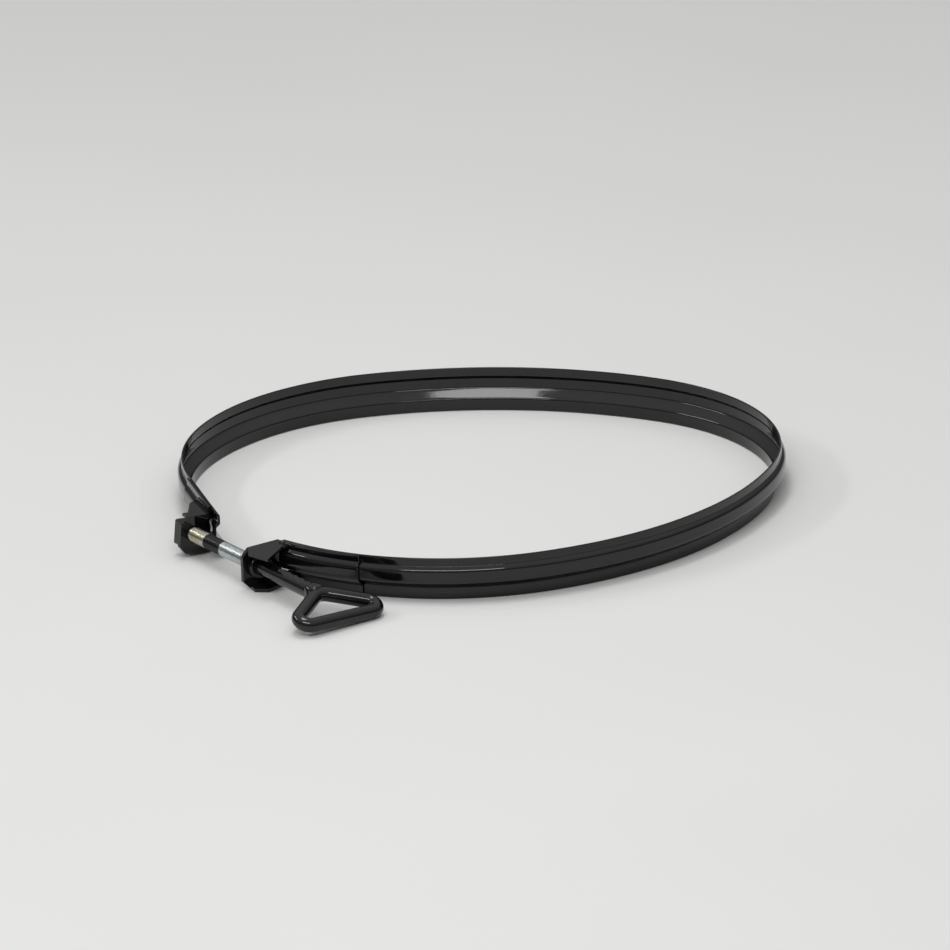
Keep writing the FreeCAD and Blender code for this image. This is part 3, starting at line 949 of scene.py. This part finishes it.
@dataclass(frozen=True)
class ZincScrew:
    """Zinc-plated screw, overpainted in its middle and along its shank.

    Zinc plate is a bright satin metal, yellowed by its passivation at the nut end and
    greyed by grime of about 1.4 mm. The enamel on it is as glossy as on the sheet.
    Lengths are in mm along the screw.
    """

    name: str = "Zinc plate with enamel overspray"
    zinc: str = "#b9bfc1"
    passivated: str = "#b4b09a"
    grime: str = "#77766c"
    enamel: str = "#0b0c0e"
    paint_start: float = -12.0
    paint_end: float = 6.0
    shank_start: float = 42.0
    paint_fade: float = 0.4
    paint_wander: float = 0.7
    tint_start: float = -16.0
    tint_end: float = -10.0
    ragged_per_metre: float = 260.0
    grime_per_metre: float = 700.0
    grime_share: float = 0.45
    zinc_roughness: float = 0.24
    enamel_roughness: float = 0.09

    def step(self, nodes: Nodes, x: bpy.types.NodeSocket, place: float, before: float,
             after: float) -> bpy.types.NodeSocket:
        """Change from before to after at a place along the screw, over paint_fade.

        Args:
            nodes: tree to add to.
            x: socket of the place along the screw, m.
            place: where the change is, mm.
            before: result on the nut's side.
            after: result on the handle's side.

        Returns:
            The result's socket.
        """
        return nodes.spread(x, (place - self.paint_fade) * MM,
                            (place + self.paint_fade) * MM, before, after)

    def make(self) -> bpy.types.Material:
        """Enamel where x lies in the painted spans, its edges broken up by noise.

        Returns:
            The finished material.
        """
        nodes = Nodes(bpy.data.materials.new(self.name))
        place = nodes.add("ShaderNodeTexCoord")
        split = nodes.add("ShaderNodeSeparateXYZ", {0: place.outputs["Object"]})
        wander = nodes.spread(nodes.noise(self.ragged_per_metre, 4.0), 0.3, 0.7,
                              -self.paint_wander * MM, self.paint_wander * MM)
        x = nodes.add("ShaderNodeMath", {0: split.outputs["X"], 1: wander},
                      operation="ADD").outputs[0]
        rise = self.step(nodes, x, self.paint_start, 0.0, 1.0)
        fall = self.step(nodes, x, self.paint_end, 1.0, 0.0)
        shank = self.step(nodes, x, self.shank_start, 0.0, 1.0)
        middle = nodes.add("ShaderNodeMath", {0: rise, 1: fall}, operation="MULTIPLY")
        paint = nodes.add("ShaderNodeMath", {0: middle.outputs[0], 1: shank},
                          operation="MAXIMUM").outputs[0]
        tint = nodes.spread(x, self.tint_start * MM, self.tint_end * MM, 0.0, 1.0)
        grime = nodes.noise(self.grime_per_metre, 3.0)
        metal = nodes.mixed(tint, linear(self.passivated), linear(self.zinc))
        worn = nodes.spread(grime, 0.45, 0.75, 0.0, self.grime_share)
        metal = nodes.mixed(worn, metal, linear(self.grime))
        nodes.set(Base_Color=nodes.mixed(paint, metal, linear(self.enamel)),
                  Metallic=nodes.spread(paint, 0.0, 1.0, 1.0, 0.0),
                  Roughness=nodes.spread(paint, 0.0, 1.0, self.zinc_roughness,
                                         self.enamel_roughness),
                  Normal=nodes.relief(grime, 0.25, 0.0002))
        return nodes.material


@dataclass(frozen=True)
class StudioFloor:
    """Pale seamless floor: matt paper, with hardly any sheen."""

    name: str = "Pale matt floor"
    colour: str = "#dcdcda"
    cloudy: str = "#dededd"
    cloud_per_metre: float = 3.0
    roughness: float = 0.75
    specular: float = 0.15

    def make(self) -> bpy.types.Material:
        """Even paper colour with faint broad clouds.

        Returns:
            The finished material.
        """
        nodes = Nodes(bpy.data.materials.new(self.name))
        share = nodes.spread(nodes.noise(self.cloud_per_metre, 2.0), 0.3, 0.7, 0.0, 1.0)
        nodes.set(Base_Color=nodes.mixed(share, linear(self.colour), linear(self.cloudy)),
                  Roughness=self.roughness, Specular_IOR_Level=self.specular)
        return nodes.material


# ---------------------------------------------------------------- studio


@dataclass
class Studio:
    """Floor, light and camera; lengths in metres."""

    floor_half: float = 12.0
    floor_drop: float = 0.0002
    horizon: float = 0.1
    zenith: float = 0.95
    horizon_strength: float = 0.14
    zenith_strength: float = 0.74
    view_from: tuple = (4.38364, -2.9697, 1.93359)
    azimuth_deg: float = 55.9
    pitch_deg: float = 19.913
    roll_deg: float = -2.016
    lens: float = 341.05

    def floor(self) -> None:
        """Square floor just under the clamp."""
        side = self.floor_half
        corners = np.array([[-side, -side, 0], [side, -side, 0], [side, side, 0],
                            [-side, side, 0]]) / MM
        plane = make_mesh("floor", corners, [np.array([[0, 1, 2, 3]])])
        if plane.data.polygons[0].normal.z < 0:
            plane.data.flip_normals()
        plane.data.materials.append(StudioFloor().make())
        plane.location.z = -self.floor_drop

    def dome(self) -> None:
        """Sky that brightens from the horizon to the zenith."""
        world = bpy.data.worlds.new("Soft dome")
        bpy.context.scene.world = world
        world.use_nodes = True
        tree = world.node_tree
        place = tree.nodes.new("ShaderNodeTexCoord")
        split = tree.nodes.new("ShaderNodeSeparateXYZ")
        ramp = tree.nodes.new("ShaderNodeMapRange")
        ramp.interpolation_type = "SMOOTHSTEP"
        ramp.inputs["From Min"].default_value = self.horizon
        ramp.inputs["From Max"].default_value = self.zenith
        ramp.inputs["To Min"].default_value = self.horizon_strength
        ramp.inputs["To Max"].default_value = self.zenith_strength
        back = tree.nodes["Background"]
        tree.links.new(place.outputs["Generated"], split.inputs[0])
        tree.links.new(split.outputs["Z"], ramp.inputs["Value"])
        tree.links.new(ramp.outputs["Result"], back.inputs["Strength"])
        back.inputs["Color"].default_value = (1.0, 1.0, 1.0, 1.0)

    def softbox(self, name: str, place: tuple, size: tuple, watts: float) -> None:
        """Rectangular lamp that faces the origin.

        Args:
            name: object name.
            place: middle of the lamp, m.
            size: its two sides, m.
            watts: its power.
        """
        lamp = bpy.data.lights.new(name, "AREA")
        lamp.shape = "RECTANGLE"
        lamp.size, lamp.size_y = size
        lamp.energy = watts
        thing = bpy.data.objects.new(name, lamp)
        thing.location = place
        thing.rotation_mode = "QUATERNION"
        thing.rotation_quaternion = (-Vector(place)).to_track_quat("-Z", "Y")
        bpy.context.scene.collection.objects.link(thing)

    def camera(self) -> None:
        """Long lens, turned a little about its own axis."""
        data = bpy.data.cameras.new("camera")
        data.lens = self.lens
        data.sensor_width = 36.0
        data.clip_end = 60.0
        thing = bpy.data.objects.new("camera", data)
        bpy.context.scene.collection.objects.link(thing)
        pitch, roll = math.radians(self.pitch_deg), math.radians(self.roll_deg)
        flat = math.radians(90.0 + self.azimuth_deg)
        ahead = Vector((math.cos(pitch) * math.cos(flat), math.cos(pitch) * math.sin(flat),
                        -math.sin(pitch)))
        level = Vector((math.sin(flat), -math.cos(flat), 0.0))
        upright = level.cross(ahead)
        right = level * math.cos(roll) + upright * math.sin(roll)
        top = upright * math.cos(roll) - level * math.sin(roll)
        turn = Matrix((right, top, -ahead)).transposed()
        thing.rotation_mode = "QUATERNION"
        thing.rotation_quaternion = turn.to_quaternion()
        thing.location = self.view_from
        bpy.context.scene.camera = thing

    def build(self) -> None:
        """Set up the floor, the sky, three softboxes and the camera."""
        self.floor()
        self.dome()
        self.softbox("overhead", (-0.10, -0.05, 1.9), (1.0, 0.4), 8.0)
        self.softbox("front_strip", (1.3, -1.1, 1.7), (1.5, 0.2), 15.0)
        self.softbox("left_strip", (-1.2, -1.5, 1.4), (1.2, 0.16), 8.0)
        view = bpy.context.scene.view_settings
        view.view_transform = "Standard"
        view.look = "None"
        self.camera()


# ---------------------------------------------------------------- the clamp


@dataclass
class HoseClamp:
    """All the pieces with their finishes, in the order in which they are made."""

    enamel: Enamel = field(default_factory=Enamel)
    screw_finish: ZincScrew = field(default_factory=ZincScrew)
    tongue: float = 17.6
    strap: float = 56.0

    def pieces(self) -> list:
        """The pieces; the nut-side strap stops short of the band's end by the tongue.

        Returns:
            Pieces in the order in which they are made.
        """
        length = PLAN.length()
        tail = length - self.tongue
        enamel, zinc = Slot.ENAMEL, Slot.ZINC
        return [
            SheetRun("channel_band", Body.CLAMP, enamel, "band", 0.0, length, 0.6, 1.2,
                     0.42, 2.5, 0.10),
            SheetRun("nut_side_strap", Body.CLAMP, enamel, "nut_lug_strap", tail - self.strap,
                     tail, 2.25, 1.5, 0.5, 2.0, 0.05),
            SheetRun("screw_side_strap", Body.CLAMP, enamel, "bolt_lug_strap", 0.0,
                     self.strap, 2.25, 1.5, 0.5, 2.0, 0.05),
            FramePiece("nut_side_bracket", Body.CLAMP, enamel, "nut_lug_bracket", 0.45),
            FramePiece("screw_side_bracket", Body.CLAMP, enamel, "bolt_lug_bracket", 0.45),
            FramePiece("square_nut_body", Body.CLAMP, enamel, "square_nut", 0.5),
            WeldRuns("nut_side_welds", Body.CLAMP, enamel, "nut_lug_welds", (
                ((-31.2, -178.5, 25.0), (-57.0, -171.6, 24.3)),
                ((-31.2, -174.1, 2.7), (-57.5, -167.4, 2.7))), 1.3),
            WeldRuns("screw_side_welds", Body.CLAMP, enamel, "bolt_lug_welds", (
                ((44.6, -178.3, 26.0), (55.2, -175.6, 26.0)),
                ((44.6, -174.1, 2.7), (55.2, -171.4, 2.7))), 1.3),
            Screw("threaded_screw", Body.SCREW, zinc, "screw"),
            Collar("turned_collar", Body.COLLAR, enamel, "thrust_collar"),
            HandleLoop("wire_handle", Body.SCREW, enamel, "handle_loop"),
            HandleWeld("handle_weld_lump", Body.SCREW, enamel, "handle_weld"),
        ]

    def build(self) -> None:
        """Make the finishes, then place every piece with its own."""
        finishes = {Slot.ENAMEL: self.enamel.make(), Slot.ZINC: self.screw_finish.make()}
        for piece in self.pieces():
            piece.place(finishes[piece.slot])


def main() -> None:
    """Build the clamp and its studio, and hand the scene over."""
    logging.basicConfig(level=logging.INFO, format="%(name)s: %(message)s")
    HoseClamp().build()
    Studio().build()


if __name__ == "__main__":
    main()
